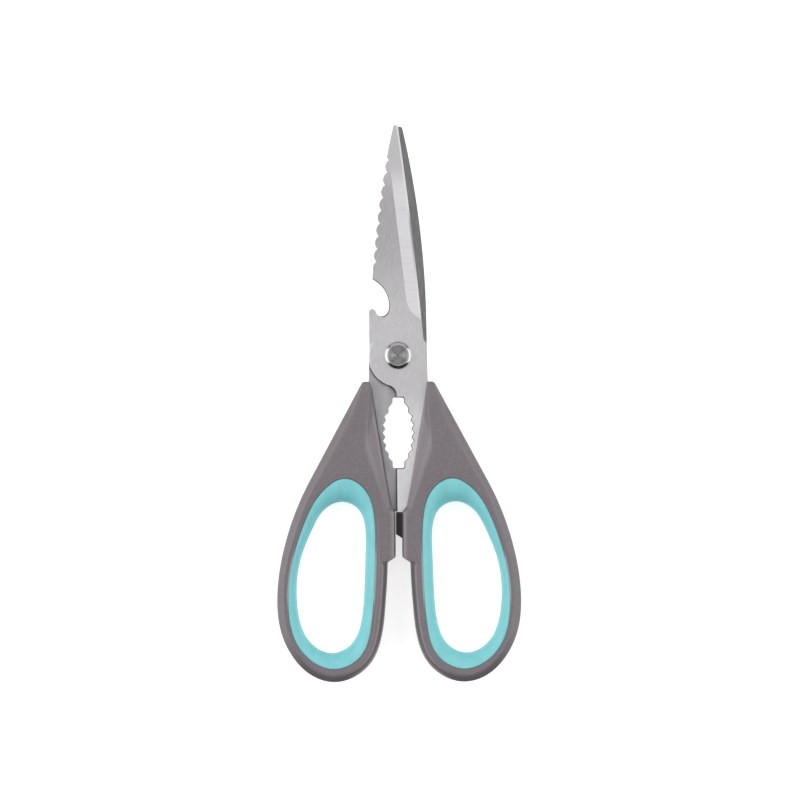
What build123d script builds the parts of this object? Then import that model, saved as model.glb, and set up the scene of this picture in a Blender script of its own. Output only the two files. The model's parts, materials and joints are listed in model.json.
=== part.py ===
from build123d import *
import math
import os

os.makedirs("parts", exist_ok=True)

# Kitchen shears lying closed, blades towards +Y, front face up.
# Everything is drawn about the pivot, with the right half in front. At the end it moves so
# that the origin is the centre of the underside.

# Blades
blade_reach = 87.0
blade_width = 21.8
blade_thickness = 2.5
blade_gap = 0.04
hub_radius = 11.0
hub_drop = 0.8
edge_rise = 13.4
edge_bulge = 0.45
tip_width = 1.75
tip_round = 0.55
rear_tip_width = 2.3
rear_tip_drop = 0.6
shoulder_rise = 4.4
shoulder_height = 3.4
shoulder_inset = 1.5

# Ground face along the cutting edge
bevel_width = 4.8
bevel_land = 0.3
bevel_runout = 8.0

# Scaling teeth on the front blade's back
scallop_count = 9
scallop_start = 12.8
scallop_end = 6.7

# Bottle opener in the front blade, and the bone notch in the rear edge behind it
opener_rise = 14.7
opener_height = 14.0
opener_depth = 7.6
opener_lip_width = 2.6
opener_lip_height = 2.8
opener_bevel = 0.35
notch_relief = 0.3

# Nutcracker between the tangs
cracker_drop = 15.95
cracker_height = 26.65
cracker_mouth = 4.4
cracker_mouth_height = 1.9
cracker_mouth_round = 0.8
cracker_width = 11.8
cracker_fullness = 2.7
cracker_teeth = 7
cracker_lead = 0.575
cracker_bite = 1.0
cracker_bevel = 0.3

# Tangs, which the handles are moulded round
tang_overlap = 0.5
tang_drop = 59.0
tang_flare = 0.3
tang_corner = 1.5
tang_key_radius = 1.6
neck_round = 4.0

# Pivot rivet and its washer
shank_radius = 3.0
shank_clearance = 0.05
head_radius = 5.2
head_height = 2.3
head_shoulder = 1.45
head_dish = 0.12
head_pip_radius = 0.35
head_play = 0.05
washer_radius = 4.8
washer_thickness = 0.6
peen_radius = 4.2
peen_height = 1.4
peen_round = 0.9

# Handles
handle_thickness = 12.5
handle_top_drop = 9.9
collar_lap = 0.3
nub_width = 2.6
nub_round = 0.9
crown_length = 36.4
crown_taper = 1.0
crown_taper_length = 17.0
rim_gap = 8.6
rim_inner = 4.5
rim_outer = 4.25
rim_bottom = 4.9
rim_bevel_width = 2.7
rim_bevel_depth = 2.0
pad_gap = 2.7
pad_length = 17.2
pad_step = 1.4
pad_round = 0.6
pad_bevel = 0.4
land_width = 1.6
land_depth = 0.3

# Finger holes and the soft grips that line them
hole_width = 26.0
hole_length = 57.0
band_inner = 3.85
band_outer = 3.1
band_top = 9.0
band_bottom = 5.9
grip_lip_share = 0.06
grip_steps = 6

# Closing bumper in the right handle
bumper_length = 8.2
bumper_slant = 1.8
bumper_height = 6.0
bumper_seat = 1.6
bumper_clearance = 0.25

overrun = 5.0
tolerance = 0.05

# Outlines as shares of the box that each one fills, from its lower left corner
hole_shares = [
    (0.34, 1.0), (0.59, 0.95), (0.77, 0.82), (0.90, 0.68), (0.985, 0.52), (1.0, 0.38),
    (0.96, 0.22), (0.83, 0.085), (0.50, 0.0), (0.21, 0.06), (0.065, 0.215), (0.02, 0.42),
    (0.0, 0.68), (0.007, 0.84), (0.10, 0.95),
]
grip_shares = [
    (0.33, 1.0), (0.63, 0.92), (0.82, 0.76), (0.915, 0.63), (0.985, 0.475), (1.0, 0.36),
    (0.955, 0.19), (0.84, 0.09), (0.47, 0.0), (0.17, 0.07), (0.05, 0.235), (0.015, 0.42),
    (0.0, 0.64), (0.012, 0.80), (0.115, 0.94),
]
rim_shares = [
    (0.70, 0.99), (0.86, 0.795), (0.96, 0.60), (1.0, 0.40), (0.965, 0.245), (0.855, 0.12),
    (0.68, 0.03), (0.485, 0.0), (0.30, 0.026), (0.145, 0.10), (0.066, 0.20), (0.02, 0.38),
]
opener_shares = [
    (0.45, 0.90), (0.70, 0.765), (0.89, 0.58), (0.99, 0.36), (0.985, 0.21), (0.87, 0.065),
    (0.635, 0.0), (0.44, 0.04),
]
opener_top_share = 0.175
lip_shares = [(1.0, 0.6), (0.55, 1.0), (0.0, 0.35)]

# Points as shares of the blade's half width and of its reach, or of the tang's length
heel_share = 0.815
edge_tip_share = 0.03
rear_back_shares = [(0.775, 0.555), (0.99, 0.135)]
front_back_share = (0.628, 0.655)
scallop_lead_share = 0.33
scallop_end_share = 0.5
scallop_depth_share = 0.24
tang_shares = [(0.42, 1.0), (0.80, 0.83), (1.25, 0.66), (1.50, 0.52), (1.38, 0.40)]
key_shares = [(1.08, 0.56), (0.75, 0.76)]
collar_shares = [(0.45, 0.797), (0.28, 0.964)]
runout_share = (0.48, 0.235)
shoulder_share = (0.77, 0.44)

# Places that follow from the sizes
middle = handle_thickness / 2
blade_half = blade_width / 2
blade_face = middle + blade_gap / 2
front_face = blade_face + blade_thickness
grip_top = -(handle_top_drop + crown_length)
hole_top = grip_top - band_top
hole_bottom = hole_top - hole_length
grip_bottom = hole_bottom - band_bottom
handle_bottom = grip_bottom - rim_bottom
rim_left = rim_gap / 2
grip_left = rim_left + rim_inner
hole_left = grip_left + band_inner
hole_right = hole_left + hole_width
grip_right = hole_right + band_outer
rim_right = grip_right + rim_outer
pad_top = -tang_drop
pad_bottom = pad_top - pad_length
pad_side = pad_gap / 2
heel_point = Vector(blade_half * heel_share, edge_rise)
edge_tip = Vector(blade_half * edge_tip_share, blade_reach - tip_round)


def in_box(shares, left, right, bottom, top):
    return [(left + x * (right - left), bottom + y * (top - bottom)) for x, y in shares]


def ring(points):
    return make_face(Spline(*points, periodic=True))


def plate(face, low, high):
    return Pos(0, 0, low) * extrude(face, amount=high - low)


def turned_over(shape):
    return Pos(0, 0, handle_thickness) * (Rot(0, 180, 0) * shape)


def nearest(corners, x, y):
    return min(corners, key=lambda c: (c.X - x) ** 2 + (c.Y - y) ** 2)


def rounded(face, radius, *places):
    corners = [nearest(face.vertices(), x, y) for x, y in places]
    return fillet(corners, radius)


def smooth_back(back_tip):
    through, foot = [(-x * blade_half, y * blade_reach) for x, y in rear_back_shares]
    return [ThreePointArc(back_tip, through, foot), Line(foot, (-blade_half, 0))]


def scalloped_back(back_tip, opener_top):
    through = (-front_back_share[0] * blade_half, front_back_share[1] * blade_reach)
    back = ThreePointArc(back_tip, through, opener_top)
    start = scallop_start / back.length
    pitch = (1 - start - scallop_end / back.length) / (scallop_count - 1)
    depth = scallop_depth_share * pitch * back.length
    notches = [start + i * pitch for i in range(scallop_count)]

    def valley(t):
        along = back % t
        return back @ t + Vector(-along.Y, along.X) * depth

    first = notches[0] - pitch * scallop_lead_share
    last = notches[-1] + pitch * scallop_end_share
    leaving = back @ ((first + notches[0]) / 2)
    joining = back @ ((notches[-1] + 2 * last) / 3)
    edges = [ThreePointArc(back @ 0, back @ (first / 2), back @ first)]
    edges += [ThreePointArc(back @ first, leaving, valley(notches[0]))]
    edges += [ThreePointArc(valley(t), back @ (t + pitch / 2), valley(t + pitch)) for t in notches[:-1]]
    edges += [ThreePointArc(valley(notches[-1]), joining, back @ last)]
    edges += [ThreePointArc(back @ last, back @ ((last + 1) / 2), back @ 1)]
    return edges


def opener_points(relief=0):
    left = -blade_half
    top = (left + opener_top_share * opener_depth, opener_rise + opener_height + relief)
    curve = in_box(opener_shares, left, left + opener_depth + relief, opener_rise - relief, top[1])
    lip_top = opener_rise + opener_lip_height
    lip_in, lip_tip, lip_out = in_box(lip_shares, left, left + opener_lip_width, opener_rise, lip_top)
    return [top] + curve + [lip_in], lip_tip, lip_out


def opener_mouth(relief):
    curve = opener_points(relief)[0]
    past = -blade_half - overrun
    closing = Polyline(curve[-1], (past, curve[-1][1]), (past, curve[0][1]), curve[0])
    return make_face([Spline(*curve), closing])


def blade_plan(tip, back_tip, back_edges):
    edge = SagittaArc(heel_point, tip, -edge_bulge)
    cap = ThreePointArc(tip, (tip + back_tip) / 2 + Vector(0, tip_round), back_tip)
    side_top = (blade_half, shoulder_rise)
    side_neck = (blade_half - shoulder_inset, shoulder_rise + shoulder_height)
    across, along = shoulder_share
    hollow = (blade_half - across * shoulder_inset, shoulder_rise + along * shoulder_height)
    sides = [
        Line((-blade_half, 0), (blade_half, 0)),
        Line((blade_half, 0), side_top),
        ThreePointArc(side_top, hollow, side_neck),
        Line(side_neck, heel_point),
    ]
    hub = Pos(0, -hub_drop) * Circle(hub_radius)
    blade = make_face([edge, cap] + back_edges + sides) + hub + tang_plan()
    return rounded(blade, neck_round, (-tang_overlap, -hub_drop - hub_radius))


def tang_plan():
    hidden = [(x * blade_half, -y * tang_drop) for x, y in tang_shares]
    shoulder = (blade_half + tang_flare, -handle_top_drop)
    corners = [(-tang_overlap, 0), (-tang_overlap, -tang_drop)] + hidden + [shoulder, (blade_half, 0)]
    face = rounded(make_face(Polyline(*corners, close=True)), tang_corner, *hidden)
    for x, y in key_shares:
        face -= Pos(x * blade_half, -y * tang_drop) * Circle(tang_key_radius)
    return face


def cracker_plan(relief=0):
    centre = -(cracker_drop + cracker_height / 2)
    mouth = cracker_mouth / 2 + relief
    swell = (cracker_width - cracker_mouth) / 2
    half = cracker_height / 2 + relief
    reach = cracker_height / 2 - cracker_mouth_height
    pitch = 2 * (reach - cracker_lead) / cracker_teeth

    def side_at(y):
        return mouth + swell * (1 - abs(y / reach) ** cracker_fullness)

    side = [(mouth, half), (mouth, reach)]
    for i in range(cracker_teeth):
        y = pitch * ((cracker_teeth - 1) / 2 - i)
        tip = y - pitch / 2
        side += [(side_at(y), y), (max(side_at(tip) - cracker_bite, mouth), tip)]
    side += [(mouth, -reach), (mouth, -half)]
    other = [(-x, y) for x, y in reversed(side)]
    face = make_face(Polyline(*(side + other), close=True))
    corners = [(x, y) for x in (-mouth, mouth) for y in (-half, half)]
    return Pos(0, centre) * rounded(face, cracker_mouth_round, *corners)


def bevel_cutter():
    along = (edge_tip - heel_point).normalized()
    side = Vector(along.Y, -along.X)
    fall = (blade_thickness - bevel_land) / bevel_width
    section = Plane(origin=heel_point + Vector(0, 0, front_face), x_dir=side, z_dir=-along)
    low = -fall * (bevel_width + overrun)
    wedge = make_face(Polyline((-bevel_width, 0), (overrun, 0), (overrun, low), close=True))
    prism = extrude(section * wedge, amount=blade_reach, both=True)

    def ground(across, up):
        return heel_point + side * across + along * up

    start = ground(-bevel_width, bevel_runout)
    through = ground(-runout_share[0] * bevel_width, runout_share[1] * bevel_runout)
    far = overrun + bevel_width
    outside = [ground(far, 0), ground(far, blade_reach), ground(-far, blade_reach), ground(-far, bevel_runout)]
    runout = [ThreePointArc(heel_point, through, start), Polyline(heel_point, *outside, start)]
    return prism & plate(make_face(runout), 0, handle_thickness)


def countersink(mouth, bevel):
    steps = [(-2 * bevel, -bevel), (bevel, 2 * bevel)]
    return loft([Pos(0, 0, front_face + rise) * mouth(relief) for rise, relief in steps], ruled=True)


def front_blade():
    curve, lip_tip, lip_out = opener_points()
    opener = [Spline(*curve), ThreePointArc(curve[-1], lip_tip, lip_out), Line(lip_out, (-blade_half, 0))]
    back_tip = edge_tip - Vector(tip_width, 0)
    face = blade_plan(edge_tip, back_tip, scalloped_back(back_tip, curve[0]) + opener) - cracker_plan()
    face -= Circle(shank_radius + shank_clearance)
    blade = plate(face, blade_face, front_face)
    blade -= countersink(opener_mouth, opener_bevel)
    blade -= countersink(cracker_plan, cracker_bevel)
    return blade - bevel_cutter()


def rear_blade():
    tip = edge_tip - Vector(0, rear_tip_drop)
    back_tip = tip - Vector(rear_tip_width, 0)
    face = blade_plan(tip, back_tip, smooth_back(back_tip)) - cracker_plan()
    face -= mirror(opener_mouth(notch_relief), Plane.YZ)
    face -= Circle(shank_radius)
    return turned_over(plate(face, blade_face, front_face) - bevel_cutter())


def pivot_rivet():
    under = handle_thickness - front_face - washer_thickness
    low = under - peen_height
    seat = front_face + head_play
    top = seat + head_height
    disc = head_radius - head_shoulder
    outline = [
        Line((0, low), (peen_radius - peen_round, low)),
        RadiusArc((peen_radius - peen_round, low), (peen_radius, low + peen_round), -peen_round),
        Polyline((peen_radius, low + peen_round), (peen_radius, under), (shank_radius, under),
                 (shank_radius, seat), (head_radius, seat), (head_radius, top - head_shoulder)),
        RadiusArc((head_radius, top - head_shoulder), (disc, top), -head_shoulder),
        Polyline((disc, top), (disc - head_dish, top - head_dish), (head_pip_radius, top - head_dish),
                 (0, top - head_dish - head_pip_radius), (0, low)),
    ]
    return revolve(Plane.XZ * make_face(outline), Axis.Z)


def rivet_washer():
    top = handle_thickness - front_face
    return plate(Circle(washer_radius) - Circle(shank_radius), top - washer_thickness, top)


def handle_plan():
    collar = [(x * blade_half, -y * tang_drop) for x, y in collar_shares]
    collar_top = (blade_half + tang_flare - collar_lap, -handle_top_drop)
    nub = (collar_top[0] + nub_width, -handle_top_drop)
    rim = in_box(rim_shares, rim_left, rim_right, handle_bottom, grip_top)
    rim.append((rim_left, pad_bottom - pad_step))
    crown = (rim[0][0] - nub[0], rim[0][1] - nub[1])
    pad = [(pad_side, pad_bottom), (pad_side, pad_top)]
    face = make_face([
        Polyline(rim[-1], *pad, collar[1], collar[0], collar_top, nub, rim[0]),
        Spline(*rim, tangents=[crown, (0, 1)]),
    ])
    return rounded(face, pad_round, *pad)


def upright(body, radius, x, y):
    edges = body.edges().filter_by(Axis.Z)
    return fillet([min(edges, key=lambda e: abs((e @ 0).X - x) + abs((e @ 0).Y - y))], radius)


def crown_cutter():
    start = -handle_top_drop - crown_taper_length
    end = -handle_top_drop + overrun
    fall = crown_taper / crown_taper_length * (end - start)
    top = handle_thickness
    wedge = Polyline((start, top), (end, top - fall), (end, top + overrun), (start, top + overrun), close=True)
    return extrude(Plane.YZ * make_face(wedge), amount=rim_right, both=True)


def from_both_faces(body, cutter):
    return body - cutter - turned_over(mirror(cutter, Plane.YZ))


def handle_shell():
    body = plate(handle_plan(), 0, handle_thickness)
    flat = [e for e in body.edges() if abs((e @ 0).Z - (e @ 1).Z) < tolerance]
    nub_side = blade_half + tang_flare - collar_lap + nub_width
    outer = [e for e in flat if (e @ 0.5).X > nub_side or (e @ 0.5).Y < pad_bottom - pad_step]
    inner = [e for e in flat if (e @ 0.5).X < blade_half and (e @ 0.5).Y > pad_bottom - pad_step]
    body = chamfer(outer, rim_bevel_depth, rim_bevel_width)
    inner = [e for e in body.edges() if any((e @ 0.5 - i @ 0.5).length < pad_round for i in inner)]
    body = chamfer(inner, pad_bevel)
    body = upright(body, nub_round, nub_side, -handle_top_drop)
    body = upright(body, nub_round, nub_side - nub_width, -handle_top_drop)
    body = from_both_faces(body, crown_cutter())
    land = plate(ring(grip_points(land_width)), handle_thickness - land_depth, handle_thickness + overrun)
    seat = plate(ring(grip_points()), -overrun, handle_thickness + overrun)
    return from_both_faces(body, land) - seat


def grip_points(wider=0):
    sides = [grip_left - wider, grip_right + wider]
    return in_box(grip_shares, *sides, grip_bottom - wider, grip_top + wider)


def grip():
    outer = grip_points()
    hole = in_box(hole_shares, hole_left, hole_right, hole_bottom, hole_top)
    reach = middle - land_depth

    def section(angle):
        swell = grip_lip_share + (1 - grip_lip_share) * math.cos(angle)
        points = [Vector(*a) + (Vector(*b) - Vector(*a)) * swell for a, b in zip(outer, hole)]
        return Pos(0, 0, middle + reach * math.sin(angle)) * ring(points)

    turn = math.pi / 2 / grip_steps
    through = loft([section(i * turn) for i in range(-grip_steps, grip_steps + 1)], ruled=True)
    return plate(ring(outer), land_depth, handle_thickness - land_depth) - through


def stop_bumper():
    left = -(pad_side - bumper_clearance)
    right = pad_side + bumper_seat
    top = pad_top - bumper_clearance
    side = top - bumper_length
    slant = bumper_slant * (pad_side - left) / pad_gap
    corners = [(left, top), (right, top), (right, side - slant), (pad_side, side - slant), (left, side)]
    face = rounded(make_face(Polyline(*corners, close=True)), bumper_clearance, (left, top), (left, side))
    return plate(face, middle - bumper_height / 2, middle + bumper_height / 2)


to_origin = Pos(0, -(blade_reach + handle_bottom) / 2, 0)
front = front_blade()
rear = rear_blade()
shell = handle_shell()
soft = grip()
bumper = stop_bumper()
built = {
    "front_blade": front,
    "rear_blade": rear,
    "pivot_rivet": pivot_rivet(),
    "rivet_washer": rivet_washer(),
    "right_handle": shell - front - bumper,
    "left_handle": turned_over(shell) - rear,
    "right_grip": soft,
    "left_grip": turned_over(soft),
    "stop_bumper": bumper,
}
for name, shape in built.items():
    export_step(to_origin * shape, "parts/" + name + ".step")

print("pivot at y", round(to_origin.position.Y, 3), "middle plane at z", round(middle, 3))
print("length", round(blade_reach - handle_bottom, 2), "width", round(2 * rim_right, 2))
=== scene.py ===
import json
import math
import bpy
import numpy as np
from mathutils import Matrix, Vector


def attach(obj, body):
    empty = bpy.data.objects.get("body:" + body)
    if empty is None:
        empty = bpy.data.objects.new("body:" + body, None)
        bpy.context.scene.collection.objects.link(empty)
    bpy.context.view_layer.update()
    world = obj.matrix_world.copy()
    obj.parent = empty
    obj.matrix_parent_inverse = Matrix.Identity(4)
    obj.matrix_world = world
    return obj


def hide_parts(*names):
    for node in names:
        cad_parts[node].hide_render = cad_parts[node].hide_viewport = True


mm = 0.001

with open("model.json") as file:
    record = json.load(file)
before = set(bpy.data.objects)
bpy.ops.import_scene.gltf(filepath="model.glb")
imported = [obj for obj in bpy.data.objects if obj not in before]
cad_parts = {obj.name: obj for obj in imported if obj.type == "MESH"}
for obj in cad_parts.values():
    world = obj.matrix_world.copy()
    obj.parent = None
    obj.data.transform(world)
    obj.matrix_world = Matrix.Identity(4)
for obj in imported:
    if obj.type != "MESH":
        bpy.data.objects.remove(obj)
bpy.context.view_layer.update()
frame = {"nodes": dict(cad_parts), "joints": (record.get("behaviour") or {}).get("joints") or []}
bpy.ops.object.select_all(action="DESELECT")
pivot = Vector(frame["joints"][0]["pos_m"])
print("frame loaded, pivot at", [round(v / mm, 2) for v in pivot])


# Shader toolkit: a Wire is a socket that sums can be written with, a Finish is a node tree in the making.

class Wire:
    def __init__(self, tree, socket):
        self.tree = tree
        self.socket = socket

    def math(self, operation, first, second):
        made = self.tree.nodes.new("ShaderNodeMath")
        made.operation = operation
        for slot, value in enumerate((first, second)):
            if isinstance(value, Wire):
                self.tree.links.new(value.socket, made.inputs[slot])
            else:
                made.inputs[slot].default_value = value
        return Wire(self.tree, made.outputs[0])

    def __add__(self, other):
        return self.math("ADD", self, other)

    def __radd__(self, other):
        return self.math("ADD", other, self)

    def __sub__(self, other):
        return self.math("SUBTRACT", self, other)

    def __rsub__(self, other):
        return self.math("SUBTRACT", other, self)

    def __mul__(self, other):
        return self.math("MULTIPLY", self, other)

    def __rmul__(self, other):
        return self.math("MULTIPLY", other, self)

    def __pow__(self, other):
        return self.math("POWER", self, other)

    def orMore(self, other):
        return self.math("MAXIMUM", self, other)


class Finish:
    def __init__(self, name, owner=None):
        self.material = owner or bpy.data.materials.new(name)
        self.material.use_nodes = True
        self.tree = self.material.node_tree
        self.tree.nodes.clear()

    def node(self, kind, settings, sockets, result=0):
        made = self.tree.nodes.new("ShaderNode" + kind)
        for name, value in settings.items():
            setattr(made, name, value)
        for name, value in sockets.items():
            if isinstance(value, Wire):
                self.tree.links.new(value.socket, made.inputs[name])
            else:
                made.inputs[name].default_value = value
        return Wire(self.tree, made.outputs[result]) if len(made.outputs) else None

    def place(self):
        return self.node("TexCoord", {}, {}, "Object")

    def parts(self, vector):
        split = self.node("SeparateXYZ", {}, {"Vector": vector}).socket.node
        return [Wire(self.tree, out) for out in split.outputs]

    def noise(self, where, perMetre, detail, rough):  # perMetre is how many marks a metre along x, y and z
        where = self.node("VectorMath", {"operation": "MULTIPLY"}, {0: where, 1: perMetre})
        sockets = {"Vector": where, "Scale": 1.0, "Detail": detail, "Roughness": rough}
        return self.node("TexNoise", {}, sockets)

    def between(self, value, low, high):  # 0 below low, 1 above high
        return self.node("MapRange", {"interpolation_type": "SMOOTHSTEP"},
                         {"Value": value, "From Min": low, "From Max": high})

    def zone(self, along, span, start=0.0):  # the same, over a span in millimetres from a start in metres
        return self.between(along, start + span[0] * mm, start + span[1] * mm)

    def blend(self, factor, first, second):
        return self.node("Mix", {"data_type": "RGBA"}, {"Factor": factor, 6: first, 7: second}, 2)

    def bump(self, height, strength, deep, under):
        sockets = {"Height": height, "Strength": strength, "Distance": deep * mm, "Normal": under}
        return self.node("Bump", {}, sockets)

    def softEdges(self, radius):
        return self.node("Bevel", {"samples": 6}, {"Radius": radius * mm})

    def finish(self, sockets):
        shader = self.node("BsdfPrincipled", {}, sockets)
        self.node("OutputMaterial", {}, {"Surface": shader})
        return self.material


def around(level, pattern, spread):  # a level that a pattern of 0 to 1 moves down and up
    return level + spread * (pattern - 0.5)


# Steel: lengthwise grain, a ground bevel with cross marks, a honed line painted lighter as its highlight,
# a hollow-ground inside painted darker as its shade, and painted light, shade, highlight and shadow on the
# face and tang.
# A pattern's values are those that noise takes. A slope is a part of the face's direction, 0 to 1.

steel = {
    "light": (0.78, 0.762, 0.78, 1), "dark": (0.66, 0.645, 0.66, 1),
    "lowLight": (0.93, 0.915, 0.93, 1), "lowDark": (0.76, 0.745, 0.76, 1),
    "waistLight": (0.60, 0.583, 0.60, 1), "waistDark": (0.48, 0.465, 0.48, 1),
    "neckGlint": (0.98, 0.97, 0.98, 1), "shadedChamfer": (0.11, 0.108, 0.11, 1),
    "bevelLight": (0.445, 0.432, 0.445, 1), "bevelDark": (0.41, 0.398, 0.41, 1),
    "honed": (0.49, 0.476, 0.49, 1), "honedThin": (0.24, 0.233, 0.24, 1),
    "tip": (0.335, 0.325, 0.335, 1), "inside": (0.20, 0.20, 0.205, 1),
    "tang": (0.47, 0.47, 0.48, 1), "paintedShadow": (0.09, 0.088, 0.09, 1),
    "grain": ((6500, 130, 3000), 3.0, 0.6), "streaks": ((2400, 330, 1500), 3.0, 0.6),
    "clouds": ((130, 60, 130), 2.0, 0.5), "crossMarks": ((60, 1700, 60), 2.0, 0.7),
    "toneShares": (0.3, 0.5, 0.2), "toneSpan": (0.34, 0.66), "crossSpan": (0.30, 0.62),
    "tangSpan": (0.35, 0.65), "tangShares": (0.6, 0.2), "insideShare": 0.35,
    "grainRough": 0.36, "bevelRough": 0.30, "tangRough": 0.60, "roughSpread": 0.14,
    "relief": 0.35, "reliefDeep": 0.004, "crossRelief": 0.5, "edgeRound": 0.12,
    "groundLean": (0.12, 0.30), "groundUp": (0.3, 0.6), "insideUp": (0.8, 0.95),  # slopes
    "cutFrom": (0.45, 0.6), "cutTo": (0.78, 0.86),
    "waistFrom": (30, 66), "waistTo": (76, 94), "tipFrom": (80, 91),  # up the blade, from the origin
    "thinFrom": (38, 64), "thinTo": (67, 74), "tipOffHoned": 0.85,
    "hubTop": (3.5, 5.5), "honedFrom": (14, 17), "neckShadowTop": (-6, 0),  # up from the pivot
    "lowFrom": (12, 26), "collarShadowFrom": (10, 13),  # down from the pivot
    "heel": (8.88, 13.4), "edgeTip": (0.327, 86.45), "edgeBulge": 0.45,  # the cutting edge, from the pivot
    "honedWidth": 0.75, "honedFade": 0.7,
    "hubRadius": 11.0, "hubDrop": 0.8, "neckRound": 4.0, "overlap": 0.5,
    "neckGlintSpan": (-0.45, -0.225), "neckShadowFrom": (-0.5, -0.1), "neckShadowTo": (0, 1.2),  # out from the neck's edge
    "collarShadowTop": (10.9, -9.9), "collarShadowAcross": (-0.987, 0.159), "collarShadowTo": (0.1, 0.9),  # out from the collar
    "neckGlintShare": 0.7, "neckShadowLevel": 0.85, "collarShadowLevel": 0.70, "paintedShadowSpread": 0.3,
}


def edgeCircle():  # centre and radius of the cutting edge's shallow arc, from the pivot
    heel, tip = Vector(steel["heel"]), Vector(steel["edgeTip"])
    chord = tip - heel
    radius = (chord.length ** 2 / 4 + steel["edgeBulge"] ** 2) / (2 * steel["edgeBulge"])
    inward = Vector((-chord.y, chord.x)).normalized()
    centre = (heel + tip) / 2 + inward * (radius - steel["edgeBulge"])
    return centre, radius


def honedBand(look, alongX, alongY, side):  # the narrow band along the cutting edge
    centre, radius = edgeCircle()
    flat = look.node("CombineXYZ", {}, {"X": alongX, "Y": alongY, "Z": 0.0})
    middle = (centre.x * side * mm, pivot.y + centre.y * mm, 0)
    reach = look.node("VectorMath", {"operation": "DISTANCE"}, {0: flat, 1: middle}, "Value")
    full = radius - steel["honedWidth"] * steel["honedFade"]
    band = look.zone(reach, (radius - steel["honedWidth"], full))
    return band * look.zone(alongY, steel["honedFrom"], pivot.y)


def beyondNeck(offX, offY):  # how far a point lies outside the hub, the tang's edge and the round between
    drop = offY + steel["hubDrop"] * mm
    spread = (offX * offX + drop * drop) ** 0.5
    neck = steel["neckRound"] * mm
    pastHub = (neck - (spread - steel["hubRadius"] * mm)).orMore(0.0)
    pastEdge = (neck + (offX + steel["overlap"] * mm)).orMore(0.0)
    return neck - (pastHub * pastHub + pastEdge * pastEdge) ** 0.5


def faceColour(look, tone, alongY, offX, offY, aboveHub):  # painted light low on the blade, painted shade at the waist, a painted highlight along the neck's edge
    colour = look.blend(tone, steel["dark"], steel["light"])
    # painted light on the face below the pivot
    low = look.zone(0 - offY, steel["lowFrom"])
    colour = look.blend(low, colour, look.blend(tone, steel["lowDark"], steel["lowLight"]))
    # painted shade across the blade's waist
    waist = look.zone(alongY, steel["waistFrom"]) * (1 - look.zone(alongY, steel["waistTo"]))
    colour = look.blend(waist, colour, look.blend(tone, steel["waistDark"], steel["waistLight"]))
    # a painted highlight along the neck's edge
    neckGlint = look.zone(beyondNeck(offX, offY), steel["neckGlintSpan"]) * (1 - aboveHub)
    return look.blend(neckGlint * steel["neckGlintShare"], colour, steel["neckGlint"])


def bevelColour(look, crossMarks, honed, alongY):  # cross marks, a honed line painted lighter as its highlight and darker along the blade's middle, painted shade at the tip
    cross = look.between(crossMarks, *steel["crossSpan"])
    colour = look.blend(cross, steel["bevelDark"], steel["bevelLight"])
    thin = look.zone(alongY, steel["thinFrom"]) * (1 - look.zone(alongY, steel["thinTo"]))
    # the honed band painted lighter as the micro-bevel's highlight
    colour = look.blend(honed, colour, look.blend(thin, steel["honed"], steel["honedThin"]))
    # painted shade on the bevel near the tip
    tip = look.zone(alongY, steel["tipFrom"]) * (1 - honed * steel["tipOffHoned"])
    return look.blend(tip, colour, steel["tip"])


def tangColour(look, tone, clouds, offX, offY):  # blotched, with painted shadow beside the other blade's neck and beside its own handle's collar
    blotchShare, streakShare = steel["tangShares"]
    blotched = look.between(clouds, *steel["tangSpan"]) * blotchShare + tone * streakShare
    colour = look.blend(blotched, steel["dark"], steel["tang"])
    beyond = beyondNeck(0 - offX, offY)
    # painted shadow beside the other blade's neck
    paintedShadow = look.zone(beyond, steel["neckShadowFrom"]) * (1 - look.zone(beyond, steel["neckShadowTo"]))
    paintedShadow = paintedShadow * (1 - look.zone(offY, steel["neckShadowTop"]))
    paintedShadow = paintedShadow * around(steel["neckShadowLevel"], tone, steel["paintedShadowSpread"])
    # painted shadow beside the handle's collar
    (topX, topY), (acrossX, acrossY) = steel["collarShadowTop"], steel["collarShadowAcross"]
    fromCollar = (offX - topX * mm) * acrossX + (offY - topY * mm) * acrossY
    collarShadow = (1 - look.zone(fromCollar, steel["collarShadowTo"])) * look.zone(0 - offY, steel["collarShadowFrom"])
    paintedShadow = paintedShadow.orMore(collarShadow * around(steel["collarShadowLevel"], tone, steel["paintedShadowSpread"]))
    return look.blend(paintedShadow, colour, steel["paintedShadow"])


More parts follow.
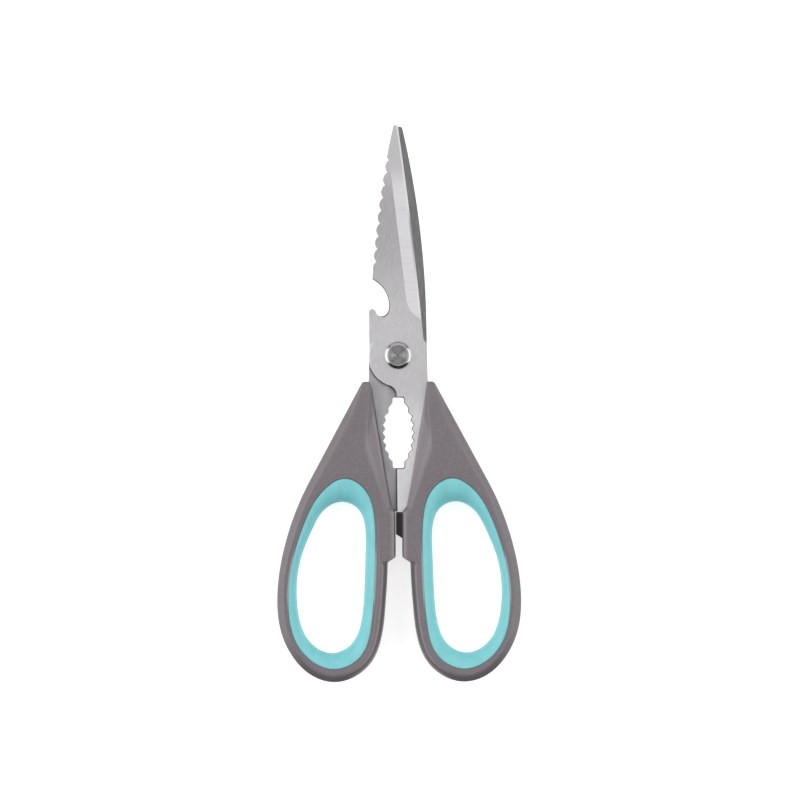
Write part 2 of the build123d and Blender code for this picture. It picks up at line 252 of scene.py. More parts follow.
def makeSteel(name, side):  # side is 1 for the front blade, -1 for the rear one, which lies turned over
    look = Finish(name)
    where = look.place()
    slopeX, _, slopeZ = look.parts(look.node("NewGeometry", {}, {}, "True Normal"))
    alongX, alongY, _ = look.parts(where)
    offX, offY = (alongX - pivot.x) * side, alongY - pivot.y
    kinds = ("grain", "streaks", "clouds", "crossMarks")
    grain, streaks, clouds, crossMarks = (look.noise(where, *steel[kind]) for kind in kinds)
    grainShare, streakShare, cloudShare = steel["toneShares"]
    mixed = grain * grainShare + streaks * streakShare + clouds * cloudShare
    tone = look.between(mixed, *steel["toneSpan"])
    ground = look.between(slopeX * side, *steel["groundLean"])
    ground = ground * look.between(slopeZ * side, *steel["groundUp"])
    inside = look.between(slopeZ * -side, *steel["insideUp"])
    aboveHub = look.zone(alongY, steel["hubTop"], pivot.y)
    honed = honedBand(look, alongX, alongY, side)
    cut = look.between(slopeZ, *steel["cutFrom"]) * (1 - look.between(slopeZ, *steel["cutTo"]))
    colour = faceColour(look, tone, alongY, offX, offY, aboveHub)
    colour = look.blend(ground, colour, bevelColour(look, crossMarks, honed, alongY))
    # chamfers painted nearly black for the shade they fall into
    colour = look.blend(cut * (1 - ground), colour, steel["shadedChamfer"])
    # the inside face painted darker than the outer face: partly a duller hollow-ground finish, partly
    # painted shade
    hollow = look.blend(tone * steel["insideShare"], steel["inside"], steel["tang"])
    under = look.blend(aboveHub, tangColour(look, tone, clouds, offX, offY), hollow)
    colour = look.blend(inside, colour, under)
    rough = around(steel["grainRough"], grain, steel["roughSpread"])
    rough = rough - (steel["grainRough"] - steel["bevelRough"]) * ground
    rough = rough + (steel["tangRough"] - steel["grainRough"]) * inside * (1 - aboveHub)
    lines = grain * (1 - ground) + crossMarks * ground * steel["crossRelief"]
    relief = look.bump(lines, steel["relief"], steel["reliefDeep"], look.softEdges(steel["edgeRound"]))
    return look.finish({"Base Color": colour, "Metallic": 1.0, "Roughness": rough, "Normal": relief})


# Rivet: fine turned rings on the disc, and a polished shoulder.

rivet = {
    "disc": (0.265, 0.265, 0.27, 1), "ring": (0.325, 0.325, 0.33, 1), "shoulder": (0.58, 0.58, 0.58, 1),
    "rings": ((5200, 1, 1), 3.0, 0.7), "broadRings": ((1500, 1, 1), 1.0, 0.5), "broadLayer": 0.5,
    "scuffs": ((900, 900, 900), 3.0, 0.5), "ringSpan": (0.35, 0.65), "discEdge": (3.65, 3.85),
    "rough": 0.34, "roughSpread": 0.10, "polish": 0.2,
    "relief": 1.0, "reliefDeep": 0.34, "edgeRound": 0.10,
}


def turnedRings(look, spread, layer, pattern):  # noise that changes only with the distance from the pivot
    return look.noise(look.node("CombineXYZ", {}, {"X": spread, "Y": layer, "Z": 0.0}), *pattern)


def makeRivet(name):
    look = Finish(name)
    where = look.place()
    alongX, alongY, _ = look.parts(where)
    offX, offY = alongX - pivot.x, alongY - pivot.y
    spread = (offX * offX + offY * offY) ** 0.5
    rings = turnedRings(look, spread, 0.0, rivet["rings"])
    broadRings = turnedRings(look, spread, rivet["broadLayer"], rivet["broadRings"])
    scuffs = look.noise(where, *rivet["scuffs"])
    polished = look.zone(spread, rivet["discEdge"])
    colour = look.blend(look.between(broadRings, *rivet["ringSpan"]), rivet["disc"], rivet["ring"])
    colour = look.blend(polished, colour, rivet["shoulder"])
    rough = around(rivet["rough"], scuffs, rivet["roughSpread"]) - rivet["polish"] * polished
    grooves = around(0.0, rings, 1.0) * (1 - polished)
    relief = look.bump(grooves, rivet["relief"], rivet["reliefDeep"], look.softEdges(rivet["edgeRound"]))
    return look.finish({"Base Color": colour, "Metallic": 1.0, "Roughness": rough, "Normal": relief})


# Handle plastic: fine moulded texture and paler edges, partly rubbed and partly a painted edge highlight.
# The mesh keeps a level for each point: above 0 rubbed paler together with painted light, above 1 a
# painted glint, below 0 painted shade.

plastic = {
    "base": (0.246, 0.217, 0.235, 1), "speck": (0.206, 0.181, 0.196, 1),
    "wearAndPaintedLight": (0.318, 0.288, 0.308, 1), "paintedGlint": (0.62, 0.59, 0.62, 1), "paintedShade": (0.120, 0.105, 0.114, 1),
    "texture": ((2600, 2600, 2600), 2.0, 0.6), "specks": ((1400, 1400, 1400), 2.0, 0.6),
    "clouds": ((60, 60, 60), 2.0, 0.5), "speckShares": (0.8, 0.2), "speckSpan": (0.34, 0.66),
    "edgeRound": 0.35, "edgeTurn": (0.02, 0.16), "paleEdgeSpan": (0.2, 0.7), "paleEdgeShare": 0.45,
    "wearAndLightSpread": 0.5, "paintedGlintSpan": (1.05, 2.0), "paintedShadeSpan": (0.0, 1.0), "paintedShadeSpread": 0.6,
    "rough": 0.38, "roughSpread": 0.12, "polish": 0.06,
    "relief": 0.30, "reliefDeep": 0.03, "refraction": 1.5,
}


def makePlastic(name):
    look = Finish(name)
    where = look.place()
    kinds = ("texture", "specks", "clouds")
    texture, specks, clouds = (look.noise(where, *plastic[kind]) for kind in kinds)
    rounded = look.softEdges(plastic["edgeRound"])
    plain = look.node("NewGeometry", {}, {}, "Normal")
    alike = look.node("VectorMath", {"operation": "DOT_PRODUCT"}, {0: rounded, 1: plain}, "Value")
    edges = look.between(1 - alike, *plastic["edgeTurn"])
    worn = look.node("Attribute", {"attribute_name": "wearAndPaintedLight"}, {}, "Fac")
    speckShare, cloudShare = plastic["speckShares"]
    speckled = look.between(specks * speckShare + clouds * cloudShare, *plastic["speckSpan"])
    colour = look.blend(speckled, plastic["speck"], plastic["base"])
    # edges painted paler, partly rubbed and partly a painted edge highlight
    paler = edges * look.between(specks, *plastic["paleEdgeSpan"]) * plastic["paleEdgeShare"]
    colour = look.blend(paler, colour, plastic["wearAndPaintedLight"])
    # paler where the mesh's level gives wear and painted light
    colour = look.blend(worn * around(1.0, clouds, plastic["wearAndLightSpread"]), colour, plastic["wearAndPaintedLight"])
    # a painted glint where the level passes 1
    colour = look.blend(look.between(worn, *plastic["paintedGlintSpan"]), colour, plastic["paintedGlint"])
    # painted shade where the level is below 0
    paintedShadeMask = look.between(0 - worn, *plastic["paintedShadeSpan"]) * around(1.0, clouds, plastic["paintedShadeSpread"])
    colour = look.blend(paintedShadeMask, colour, plastic["paintedShade"])
    rough = around(plastic["rough"], specks, plastic["roughSpread"]) - plastic["polish"] * edges
    relief = look.bump(texture, plastic["relief"], plastic["reliefDeep"], rounded)
    return look.finish({"Base Color": colour, "Roughness": rough, "Normal": relief,
                        "IOR": plastic["refraction"]})


# Soft grip: satin rubber with faint mould flow and a little dust in its texture.

softRubber = {
    "base": (0.288, 0.800, 0.840, 1), "deep": (0.252, 0.738, 0.782, 1), "dusty": (0.45, 0.72, 0.76, 1),
    "flow": ((260, 90, 260), 3.0, 0.6), "skin": ((3200, 3200, 3200), 2.0, 0.6),
    "dust": ((700, 700, 700), 4.0, 0.7), "flowShares": (0.7, 0.3), "flowSpan": (0.35, 0.62),
    "dustSpan": (0.60, 0.80), "dustShare": 0.12, "rough": 0.46, "roughSpread": 0.10,
    "relief": 0.18, "reliefDeep": 0.02, "sheen": 0.15, "sheenRough": 0.4,
}


def makeSoftGrip(name):
    look = Finish(name)
    where = look.place()
    flow, skin, dust = (look.noise(where, *softRubber[kind]) for kind in ("flow", "skin", "dust"))
    flowShare, skinShare = softRubber["flowShares"]
    flowing = look.between(flow * flowShare + skin * skinShare, *softRubber["flowSpan"])
    colour = look.blend(flowing, softRubber["deep"], softRubber["base"])
    dusted = look.between(dust, *softRubber["dustSpan"]) * softRubber["dustShare"]
    colour = look.blend(dusted, colour, softRubber["dusty"])
    rough = around(softRubber["rough"], dust, softRubber["roughSpread"])
    plain = look.node("NewGeometry", {}, {}, "Normal")
    relief = look.bump(skin, softRubber["relief"], softRubber["reliefDeep"], plain)
    return look.finish({"Base Color": colour, "Roughness": rough, "Normal": relief,
                        "Sheen Weight": softRubber["sheen"], "Sheen Roughness": softRubber["sheenRough"]})


bumper = {
    "dark": (0.040, 0.040, 0.043, 1), "worn": (0.062, 0.061, 0.064, 1),
    "grit": ((2000, 2000, 2000), 3.0, 0.6), "gritSpan": (0.3, 0.7),
    "rough": 0.62, "roughSpread": 0.1, "relief": 0.3, "reliefDeep": 0.03, "edgeRound": 0.15,
}


def makeBumperRubber(name):
    look = Finish(name)
    grit = look.noise(look.place(), *bumper["grit"])
    colour = look.blend(look.between(grit, *bumper["gritSpan"]), bumper["dark"], bumper["worn"])
    rough = around(bumper["rough"], grit, bumper["roughSpread"])
    relief = look.bump(grit, bumper["relief"], bumper["reliefDeep"], look.softEdges(bumper["edgeRound"]))
    return look.finish({"Base Color": colour, "Roughness": rough, "Normal": relief})


handlePlastic = makePlastic("greyHandlePlastic")
gripRubber = makeSoftGrip("softGripRubber")
rivetSteel = makeRivet("turnedRivetSteel")
for node, finish in (("front_blade", makeSteel("frontBladeSteel", 1)),
                     ("rear_blade", makeSteel("rearBladeSteel", -1)),
                     ("pivot_rivet", rivetSteel), ("rivet_washer", rivetSteel),
                     ("stop_bumper", makeBumperRubber("darkBumperRubber"))):
    owner = frame["nodes"][node]
    owner.data.materials.clear()
    owner.data.materials.append(finish)
print("materials made")


# Outlines of the right handle, in millimetres from the pivot, with heights from the underside. The left
# handle is the same part turned over. Shares are of a box, which is its left, right, bottom and top.

handle = {
    "top": 12.5, "middle": 6.25, "pointSpacing": 1.1,
    "nub": (13.5, -9.9), "collarTop": (10.9, -9.9), "collarHigh": (4.905, -47.02),
    "collarLow": (3.052, -56.88), "padX": 1.25, "padTop": -59.0, "padBottom": -76.2, "padStep": 1.9,
    "cornerRadii": (0.75, 0.7, 0.5, 0.6, 0.8, 0.5, 0.9), "rimSteps": 9,
    "rimBox": (4.3, 46.0, -123.1, -46.3),
    "rimShares": [(0.70, 0.99), (0.86, 0.795), (0.96, 0.60), (1.0, 0.40), (0.965, 0.245), (0.855, 0.12),
                  (0.68, 0.03), (0.485, 0.0), (0.30, 0.026), (0.145, 0.10), (0.066, 0.20), (0.02, 0.38)],
}
grip = {
    "lip": 0.05, "reach": 5.95, "wallDrop": 1.2, "lipDrop": 0.22, "shoulderDrop": 0.03,
    "shoulderShare": 0.025, "crestShare": 0.07, "turns": (78, 66, 55, 44, 33, 22, 11, 0), "curveSteps": 24,
    "seatBox": (8.8, 41.75, -118.2, -46.3), "holeBox": (12.65, 38.65, -112.3, -55.3),
    "seatShares": [(0.33, 1.0), (0.63, 0.92), (0.82, 0.76), (0.915, 0.63), (0.985, 0.475), (1.0, 0.36),
                   (0.955, 0.19), (0.84, 0.09), (0.47, 0.0), (0.17, 0.07), (0.05, 0.235), (0.015, 0.42),
                   (0.0, 0.64), (0.012, 0.80), (0.115, 0.94)],
    "holeShares": [(0.34, 1.0), (0.59, 0.95), (0.77, 0.82), (0.90, 0.68), (0.985, 0.52), (1.0, 0.38),
                   (0.96, 0.22), (0.83, 0.085), (0.50, 0.0), (0.21, 0.06), (0.065, 0.215), (0.02, 0.42),
                   (0.0, 0.68), (0.007, 0.84), (0.10, 0.95)],
}


def inBox(shares, box):
    left, right, bottom, top = box
    return [(left + x * (right - left), bottom + y * (top - bottom)) for x, y in shares]


def smoothCurve(points, steps, ends=None):  # closed, or open where ends gives its first and last direction
    p = np.array(points, float)
    count = len(p)
    spans = count if ends is None else count - 1
    chord = [np.linalg.norm(p[(i + 1) % count] - p[i]) for i in range(spans)]
    rows, right = np.zeros((count, count)), np.zeros((count, 2))
    for i in range(count):
        if ends is not None and i in (0, count - 1):
            rows[i, i] = 1
            right[i] = ends[0] if i == 0 else ends[1]
            continue
        before, after = chord[i - 1], chord[i]
        rows[i, i - 1] += 1 / before
        rows[i, i] += 2 / before + 2 / after
        rows[i, (i + 1) % count] += 1 / after
        right[i] = 3 * ((p[i] - p[i - 1]) / before ** 2 + (p[(i + 1) % count] - p[i]) / after ** 2)
    slope = np.linalg.solve(rows, right)
    line = []
    for i in range(spans):
        a, b = p[i], p[(i + 1) % count]
        out, into = slope[i] * chord[i], slope[(i + 1) % count] * chord[i]
        for t in np.arange(steps) / steps:
            line.append(a * (1 + 2 * t) * (1 - t) ** 2 + out * t * (1 - t) ** 2
                        + b * t * t * (3 - 2 * t) - into * t * t * (1 - t))
    return line if ends is None else line + [p[-1]]


def roundedCorner(before, corner, after, radius, steps=4):
    before, corner, after = (np.array(v, float) for v in (before, corner, after))
    a = corner + (before - corner) / np.linalg.norm(before - corner) * radius
    b = corner + (after - corner) / np.linalg.norm(after - corner) * radius
    shares = np.linspace(0, 1, steps + 1)
    return [a * (1 - t) ** 2 + 2 * corner * t * (1 - t) + b * t * t for t in shares]


def evenly(points, spacing):  # adds points on long straight stretches
    line = []
    for a, b in zip(points, points[1:] + points[:1]):
        count = max(1, round(np.linalg.norm(np.array(b) - a) / spacing))
        line += [a + (np.array(b) - a) * i / count for i in range(count)]
    return line


def eased(value, start=0.0, length=1.0):  # 0 up to the start, 1 from a length past it
    value = np.clip((value - start) / length, 0, 1)
    return value * value * (3 - 2 * value)


def handleOutline():  # the rim in one sweep, then the corners at the pad, the collar and the nub
    rimPoints = inBox(handle["rimShares"], handle["rimBox"])
    rimEnd = (handle["rimBox"][0], handle["padBottom"] - handle["padStep"])
    nub, rimStart = np.array(handle["nub"]), np.array(rimPoints[0])
    leaving = (rimStart - nub) / np.linalg.norm(rimStart - nub)
    rim = smoothCurve(rimPoints + [rimEnd], handle["rimSteps"], [leaving, (0, 1)])
    padBottom, padTop = (handle["padX"], handle["padBottom"]), (handle["padX"], handle["padTop"])
    corners = [rim[-2], rimEnd, padBottom, padTop, handle["collarLow"], handle["collarHigh"],
               handle["collarTop"], nub, rimStart]
    line = rim[:-1]
    for before, corner, after, radius in zip(corners, corners[1:], corners[2:], handle["cornerRadii"]):
        line += roundedCorner(before, corner, after, radius)
    return np.array(evenly(line, handle["pointSpacing"]))


def turnedToward(ring, line, centre):  # points of a closed line, in the ring's directions from the centre
    angles = np.arctan2(ring[:, 1] - centre[1], ring[:, 0] - centre[0])
    dense = np.array(line)
    there = np.arctan2(dense[:, 1] - centre[1], dense[:, 0] - centre[0])
    order = np.argsort(there)
    there, dense = there[order], dense[order]
    there = np.concatenate([there[-1:] - 2 * np.pi, there, there[:1] + 2 * np.pi])
    dense = np.concatenate([dense[-1:], dense, dense[:1]])
    return np.stack([np.interp(angles, there, dense[:, k]) for k in (0, 1)], 1)


def gripCurve(shares, box):
    return turnedToward(outline, smoothCurve(inBox(shares, box), grip["curveSteps"]), holeCentre)


outline = handleOutline()
holeCentre = np.array([np.mean(grip["holeBox"][:2]), np.mean(grip["holeBox"][2:])])
seat = gripCurve(grip["seatShares"], grip["seatBox"])
hole = gripCurve(grip["holeShares"], grip["holeBox"])
print("outline of", len(outline), "points")


# Ring work: a circle is laid on the first ring, and its edge is extruded from ring to ring.

ringWork = {"matchDigits": 4, "mergeGap": 0.002}


def startRing(name, count):
    bpy.ops.object.select_all(action="DESELECT")
    bpy.ops.mesh.primitive_circle_add(vertices=count, radius=mm, fill_type="NOTHING", location=(0, 0, 0))
    made = bpy.context.object
    made.name = name
    made.data.name = name
    return made


def layRing(made, order, ring):
    for index, point in zip(order, ring):
        made.data.vertices[index].co = point


def placeKey(vertex):  # a point's rounded place, which its extruded copy shares until it is laid
    return tuple(round(c / mm, ringWork["matchDigits"]) for c in vertex.co)


def drawRings(name, rings, wearAndPaintedLight=None):  # the last argument holds each ring's points' levels of wear, painted light and painted shade, kept on the mesh
    count = len(rings[0])
    made = startRing(name, count)
    order = list(range(count))
    layRing(made, order, rings[0])
    orders = [order]
    for ring in rings[1:]:
        old = {placeKey(made.data.vertices[i]): k for k, i in enumerate(order)}
        bpy.ops.object.mode_set(mode="EDIT")
        bpy.ops.mesh.extrude_region_move()
        bpy.ops.object.mode_set(mode="OBJECT")
        order = [0] * count
        for vertex in made.data.vertices:
            if vertex.select:
                order[old[placeKey(vertex)]] = vertex.index
        layRing(made, order, ring)
        orders.append(order)
    if wearAndPaintedLight is not None:
        worn = np.zeros(len(made.data.vertices))
        for order, values in zip(orders, wearAndPaintedLight):
            worn[order] = values
        made.data.attributes.new("wearAndPaintedLight", "FLOAT", "POINT").data.foreach_set("value", worn)
    bpy.ops.object.mode_set(mode="EDIT")
    bpy.ops.mesh.select_all(action="SELECT")
    bpy.ops.mesh.remove_doubles(threshold=ringWork["mergeGap"] * mm)
    bpy.ops.mesh.normals_make_consistent(inside=False)
    bpy.ops.object.mode_set(mode="OBJECT")
    return made


def lifted(flat, height):  # flat points from the pivot in millimetres, to the frame in metres
    height = np.broadcast_to(height, len(flat))
    return [(pivot.x + x * mm, pivot.y + y * mm, z * mm) for (x, y), z in zip(flat, height)]


def smoothed(made, levels):
    made.modifiers.new("roundOff", "SUBSURF")
    made.modifiers["roundOff"].levels = levels
    made.modifiers["roundOff"].render_levels = levels
    bpy.ops.object.select_all(action="DESELECT")
    made.select_set(True)
    bpy.context.view_layer.objects.active = made
    bpy.ops.object.modifier_apply(modifier="roundOff")
    bpy.ops.object.shade_smooth()
    return made


def turnedOver(made, name):  # the other half's copy, with its own mesh
    bpy.ops.object.select_all(action="DESELECT")
    made.select_set(True)
    bpy.context.view_layer.objects.active = made
    bpy.ops.object.duplicate()
    copy = bpy.context.object
    copy.name = name
    copy.data.name = name
    centre = (pivot.x, pivot.y, handle["middle"] * mm)
    bpy.ops.transform.rotate(value=math.pi, orient_axis="Y", center_override=centre)
    bpy.ops.object.transform_apply(location=True, rotation=True, scale=True)
    return copy


# Handle shell: a broken edge, a thumb rest beside the tang, a recessed land round the grip, a mould seam.
# An eased pair is where a change starts and its length. Levels of wear, painted light and painted shade
# are as on the plastic.

shell = {
    "bevelWide": 2.6, "bevelDeep": 1.9, "nubBevel": 1.3, "nubFade": 8.0, "nubEnd": (1.0, 0.7),
    "innerWide": 2.1, "innerDeep": 4.0, "innerFacing": (0.2, 0.6), "leastFacing": 0.3,
    "padWide": 0.65, "padDeep": 2.4, "padReach": 1.2, "padEnd": 0.6, "nubMargin": 0.35,
    "collarRight": 11.3, "collarBottom": -57.8, "bottomFacing": (0.3, 0.5), "bottomBelow": -60.0,
    "restWide": 3.77, "restSlope": 0.50, "restFrom": (12, 10), "restTaperFrom": 31, "restTaper": 0.0277,
    "restLimits": (0.1, 1.3), "restEdge": (0.5, 0.35), "softenings": (3, 3, 3, 2, 1),
    "crownDrop": 1.0, "crownFrom": -26.9, "crownLength": 17.0, "crownPower": 1.4,
    "landWide": 1.45, "landDeep": 0.3, "landFlat": 0.8, "landRound": 0.12, "landRise": 0.2,
    "landFade": (-66, 16), "landFadeShare": 0.8, "seatDrop": 0.9, "crestOut": 0.26, "crestGap": 0.5,
    "topShares": (0.12, 0.4, 0.75), "shelfDrop": 0.01, "bevelShares": (0.87, 0.7, 0.5, 0.28, 0.1),
    "cornerShare": 0.03, "cornerWide": 0.05, "cornerDrop": 0.08, "sideDrop": 0.45,
    "seamRise": 0.3, "seamWide": 0.22, "seamLip": 0.01, "seamDeep": 0.16,
    "edgeWearAndLight": 0.22, "paintedShadeDepth": 0.62, "ridgePaintedHighlight": 1.0, "padPaintedHighlight": 1.3, "ridgeFade": 0.7,
    "restWearAndLight": 0.75, "restFullWearAndLight": 3.5, "restLeastWearAndLight": 0.35,
    "seatPaintedGlint": 1.8, "seatFacing": (0.72, 0.2), "bevelWearAndLight": 0.45, "cornerWearAndLight": 1.5, "sideWearAndLight": 0.5,
}


def insetDirections(line):
    along = np.roll(line, -1, 0) - np.roll(line, 1, 0)
    along /= np.linalg.norm(along, axis=1)[:, None]
    across = np.stack([-along[:, 1], along[:, 0]], 1)
    area = np.sum(line[:, 0] * np.roll(line[:, 1], -1) - np.roll(line[:, 0], -1) * line[:, 1])
    return across if area > 0 else -across


def softened(values, rounds):
    for _ in range(rounds):
        values = (np.roll(values, 1) + 2 * values + np.roll(values, -1)) / 4
    return values


def crownTop(flat):  # the face falls away towards the blades
    past = np.clip((flat[:, 1] - shell["crownFrom"]) / shell["crownLength"], 0, 1)
    return handle["top"] - shell["crownDrop"] * past ** shell["crownPower"]


def edgeSizes(inward):  # at each point how wide, deep and round the edge is broken, its level of wear, painted light and painted shade, and the pad
    x, y = outline[:, 0], outline[:, 1]
    nubY, padEnd = handle["nub"][1], handle["padBottom"] - shell["padEnd"]
    onCollar = (x < shell["collarRight"]) & (y > shell["collarBottom"])
    onPad = (x < handle["padX"] + shell["padReach"]) & (y > padEnd) & ~onCollar
    onNubEnd = (y > nubY - shell["nubMargin"]) & (x > shell["collarRight"])
    inner = eased(inward[:, 0], *shell["innerFacing"]) * (y < padEnd)
    bottom = eased(inward[:, 1], *shell["bottomFacing"]) * (y < shell["bottomBelow"])
    fromNub = eased(nubY - y, 0.0, shell["nubFade"])
    wide = shell["nubBevel"] + (shell["bevelWide"] - shell["nubBevel"]) * fromNub
    deep = wide * shell["bevelDeep"] / shell["bevelWide"]
    wide = wide + (shell["innerWide"] - wide) * inner
    deep = deep + (shell["innerDeep"] - deep) * inner
    taper = 1 - (-y - shell["restTaperFrom"]) * shell["restTaper"]
    rest = shell["restWide"] * eased(-y, *shell["restFrom"]) * np.clip(taper, *shell["restLimits"])
    restEdgeWide, restEdgeDeep = shell["restEdge"]
    for there, width, depth in ((onNubEnd, *shell["nubEnd"]), (onPad, shell["padWide"], shell["padDeep"]),
                                (onCollar, rest + restEdgeWide, rest * shell["restSlope"] + restEdgeDeep)):
        wide, deep = np.where(there, width, wide), np.where(there, depth, deep)
    # painted shade on the inner slopes and the bottom rim; elsewhere the bevels are rubbed paler with
    # painted light
    worn = shell["edgeWearAndLight"] * (1 - inner) * (1 - bottom) - shell["paintedShadeDepth"] * np.maximum(inner, bottom)
    # the thumb rest is rubbed paler with painted light
    restShare = np.clip(rest / shell["restFullWearAndLight"], shell["restLeastWearAndLight"], 1)
    worn = np.where(onCollar, shell["restWearAndLight"] * restShare, worn)
    worn = np.where(onPad, 0, worn)
    return [softened(values, rounds)
            for values, rounds in zip((wide, deep, inner, worn, onPad * 1.0), shell["softenings"])]


def handleRings():  # from the grip's seat over the top to the side's seam, and the same again below
    inward = insetDirections(outline)
    gap = seat - outline
    width = np.linalg.norm(gap, axis=1)
    toward = gap / width[:, None]
    outward = -toward
    wide, deep, roundness, worn, onPad = edgeSizes(inward)
    wide = wide / np.clip(np.sum(toward * inward, axis=1), shell["leastFacing"], 1)
    wide = np.minimum(wide, width - shell["landWide"] - shell["crestGap"])
    shelf = outline + toward * wide[:, None]
    crest = seat + outward * (shell["landWide"] + shell["crestOut"])
    middle, landWide, landRound = handle["middle"], shell["landWide"], shell["landRound"]
    land = shell["landDeep"] * (1 - shell["landFadeShare"] * eased(outline[:, 1], *shell["landFade"]))
    clear = worn * 0
    # painted highlights along the rounded inner ridge and the pad's edge
    ridge = np.maximum(np.maximum(worn, roundness * shell["ridgePaintedHighlight"]), onPad * shell["padPaintedHighlight"])
    # a painted glint beside the grip where it faces sideways
    besideSeat = shell["seatPaintedGlint"] * eased(np.abs(outward[:, 0]), *shell["seatFacing"])
    bevelWearAndLight = np.where(worn > 0, worn * shell["bevelWearAndLight"], worn)
    cornerWearAndLight, sideWearAndLight = worn * shell["cornerWearAndLight"], worn * shell["sideWearAndLight"]
    rows = [  # flat points, their fall from the crown and their level of wear and painted light
        (seat, land + shell["seatDrop"], clear), (seat, land + landRound, besideSeat),
        (seat + outward * landRound, land, besideSeat), (seat + outward * shell["landFlat"], land, clear),
        (seat + outward * (landWide - landRound / 2), land, clear),
        (seat + outward * (landWide + landRound), land * shell["landRise"], clear), (crest, 0.0, clear),
    ]
    rows += [(crest + (shelf - crest) * share, 0.0, clear) for share in shell["topShares"]]
    rows.append((shelf, shell["shelfDrop"], ridge))
    wears = [np.maximum(worn, ridge * shell["ridgeFade"]), bevelWearAndLight, bevelWearAndLight, bevelWearAndLight, cornerWearAndLight]
    for share, wear in zip(shell["bevelShares"], wears):
        straight, curved = 1 - share, 1 - np.sqrt(1 - (1 - share) ** 2)
        fall = deep * ((1 - roundness) * straight + roundness * curved)
        rows.append((outline + toward * (wide * share)[:, None], fall, wear))
    corner = np.minimum(wide * shell["cornerShare"], shell["cornerWide"])
    rows.append((outline + toward * corner[:, None], deep + shell["cornerDrop"], cornerWearAndLight))
    rows.append((outline, deep + shell["sideDrop"], cornerWearAndLight))
    upper = [(seat, np.full(len(seat), middle), clear)]
    upper += [(flat, crownTop(flat) - fall, wear) for flat, fall, wear in rows]
    halfway = (crownTop(outline) - deep - shell["sideDrop"] + middle) / 2
    upper += [(outline, halfway, sideWearAndLight), (outline, middle + shell["seamRise"], sideWearAndLight)]
    upper.append((outline + inward * shell["seamLip"], middle + shell["seamWide"] / 2, sideWearAndLight))
    rings = [lifted(flat, height) for flat, height, _ in upper]
    rings.append(lifted(outline + inward * shell["seamDeep"], middle))
    rings += [lifted(flat, 2 * middle - height) for flat, height, _ in upper[::-1]]
    wearAndPaintedLight = [wear for _, _, wear in upper]
    return rings, wearAndPaintedLight + [worn] + wearAndPaintedLight[::-1]


rightShell = smoothed(drawRings("rightHandleShell", *handleRings()), 1)
leftShell = turnedOver(rightShell, "leftHandleShell")
print("handle shells of", len(rightShell.data.polygons), "faces")


# Soft grips: a flush lip at each face, rolling over into the finger hole.

def gripRings():
    inner = hole - seat
    wallGap = seat + inner / np.linalg.norm(inner, axis=1)[:, None] * grip["lip"]
    middle, reach, crestShare = handle["middle"], grip["reach"], grip["crestShare"]
    top = middle + reach
    upper = [
        (seat, middle), (seat, top - grip["wallDrop"]), (wallGap, top - grip["lipDrop"]),
        (seat + inner * grip["shoulderShare"], top - grip["shoulderDrop"]),
        (seat + inner * crestShare, top),
    ]
    for turn in grip["turns"]:  # degrees up from the middle of the finger hole's wall
        share = crestShare + (1 - crestShare) * math.cos(math.radians(turn))
        upper.append((seat + inner * share, middle + reach * math.sin(math.radians(turn))))
    rings = [lifted(flat, height) for flat, height in upper]
    return rings + [lifted(flat, 2 * middle - height) for flat, height in upper[-2::-1]]


rightSleeve = smoothed(drawRings("rightGripSleeve", gripRings()), 1)
leftSleeve = turnedOver(rightSleeve, "leftGripSleeve")
print("grip sleeves of", len(rightSleeve.data.polygons), "faces")

for piece, body, node, finish, slotName in (
        (rightShell, "front_half", "right_handle", handlePlastic, "handle_plastic"),
        (leftShell, "rear_half", "left_handle", handlePlastic, "handle_plastic"),
        (rightSleeve, "front_half", "right_grip", gripRubber, "soft_grip"),
        (leftSleeve, "rear_half", "left_grip", gripRubber, "soft_grip")):
    piece.data.materials.clear()
    piece.data.materials.append(finish)
    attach(piece, body)
    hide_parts(node)


# Studio: white table, low soft boxes left, right and beyond the tips, dim dome overhead. The lamps and
# the table's size are in metres, the camera's view and the table's drop in millimetres.

studio = {
    "lens": 180.0, "sensor": 36.0, "span": 301.6, "seenAt": 9.0, "centre": (0.64, 1.17), "roll": -0.0046,
    "clipNear": 0.01, "sideBox": (1.1, 0.95), "sideAway": 0.795, "sideUp": 0.4825,
    "leftPower": 5.9, "rightPower": 4.9,
    "farBox": (1.1, 0.50), "farAway": 0.75, "farUp": 0.45, "farPower": 1.0,
    "dome": 0.85, "domeFloor": 0.03, "domePower": 3, "domeFront": (-0.75, 0.1),
    "tableSize": 6.0, "tableDrop": 0.05, "tableWhite": (0.80, 0.80, 0.80, 1), "tableGlow": 0.72,
    "paperWhite": (0.90, 0.90, 0.90, 1), "paperShare": 0.02, "paper": ((300, 300, 300), 2.0, 0.5),
}
white = (1, 1, 1, 1)


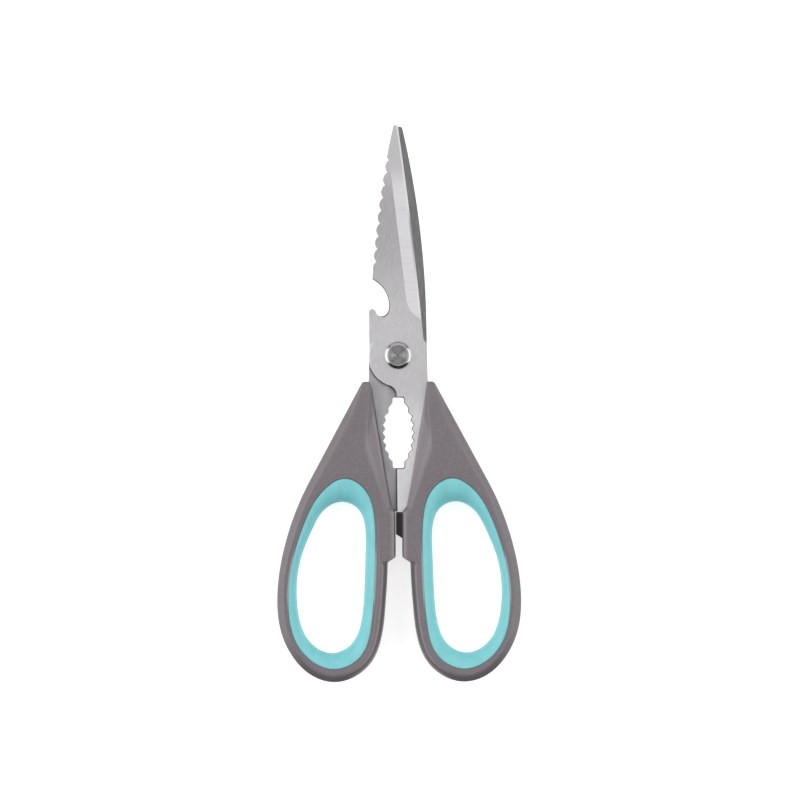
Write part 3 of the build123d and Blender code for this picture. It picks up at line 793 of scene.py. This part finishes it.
def makeTable():
    bpy.ops.object.select_all(action="DESELECT")
    drop = studio["tableDrop"] * mm
    bpy.ops.mesh.primitive_plane_add(size=studio["tableSize"], location=(0, 0, -drop))
    table = bpy.context.object
    table.name = "whiteTable"
    look = Finish("whiteTableTop")
    rays = look.node("LightPath", {}, {}, "Is Camera Ray")
    outs = rays.socket.node.outputs
    seen = rays + Wire(look.tree, outs["Is Glossy Ray"]) + Wire(look.tree, outs["Is Transmission Ray"])
    paper = look.noise(look.place(), *studio["paper"]) * studio["paperShare"]
    colour = look.blend(paper, studio["tableWhite"], studio["paperWhite"])
    glow = look.node("Emission", {}, {"Color": white, "Strength": seen * studio["tableGlow"]})
    matt = look.node("BsdfDiffuse", {}, {"Color": colour})
    both = look.node("AddShader", {}, {0: matt, 1: glow})
    look.node("OutputMaterial", {}, {"Surface": both})
    table.data.materials.append(look.material)


def softBox(name, place, size, power):
    bpy.ops.object.light_add(type="AREA", location=place)
    lamp = bpy.context.object
    lamp.name = name
    lamp.data.shape = "RECTANGLE"
    lamp.data.size, lamp.data.size_y = size
    lamp.data.energy = power
    lamp.rotation_euler = (-Vector(place)).to_track_quat("-Z", "Y").to_euler()


def makeDome():  # brightest overhead, dark towards the handles, and plain white to the camera
    world = bpy.data.worlds.new("studioDome")
    bpy.context.scene.world = world
    look = Finish("", world)
    _, seenY, seenZ = look.parts(look.node("TexCoord", {}, {}, "Generated"))
    height = look.node("Clamp", {}, {"Value": seenZ})
    strength = studio["domeFloor"] + studio["dome"] * height ** studio["domePower"]
    strength = strength * look.between(seenY, *studio["domeFront"])
    camera = look.node("LightPath", {}, {}, "Is Camera Ray")
    back = look.node("Background", {}, {"Color": white, "Strength": strength * (1 - camera) + camera})
    look.node("OutputWorld", {}, {"Surface": back})


def makeCamera():
    distance = studio["span"] * mm * studio["lens"] / studio["sensor"]
    x, y = studio["centre"]
    bpy.ops.object.camera_add(location=(x * mm, y * mm, studio["seenAt"] * mm + distance),
                              rotation=(0, 0, studio["roll"]))
    camera = bpy.context.object
    camera.name = "overheadCamera"
    camera.data.lens = studio["lens"]
    camera.data.clip_start = studio["clipNear"]
    bpy.context.scene.camera = camera


makeTable()
makeDome()
makeCamera()
away, up = studio["sideAway"], studio["sideUp"]
softBox("leftSoftBox", (-away, 0, up), studio["sideBox"], studio["leftPower"])
softBox("rightSoftBox", (away, 0, up), studio["sideBox"], studio["rightPower"])
softBox("farSoftBox", (0, studio["farAway"], studio["farUp"]), studio["farBox"], studio["farPower"])
bpy.context.scene.view_settings.view_transform = "Standard"
print("studio set")
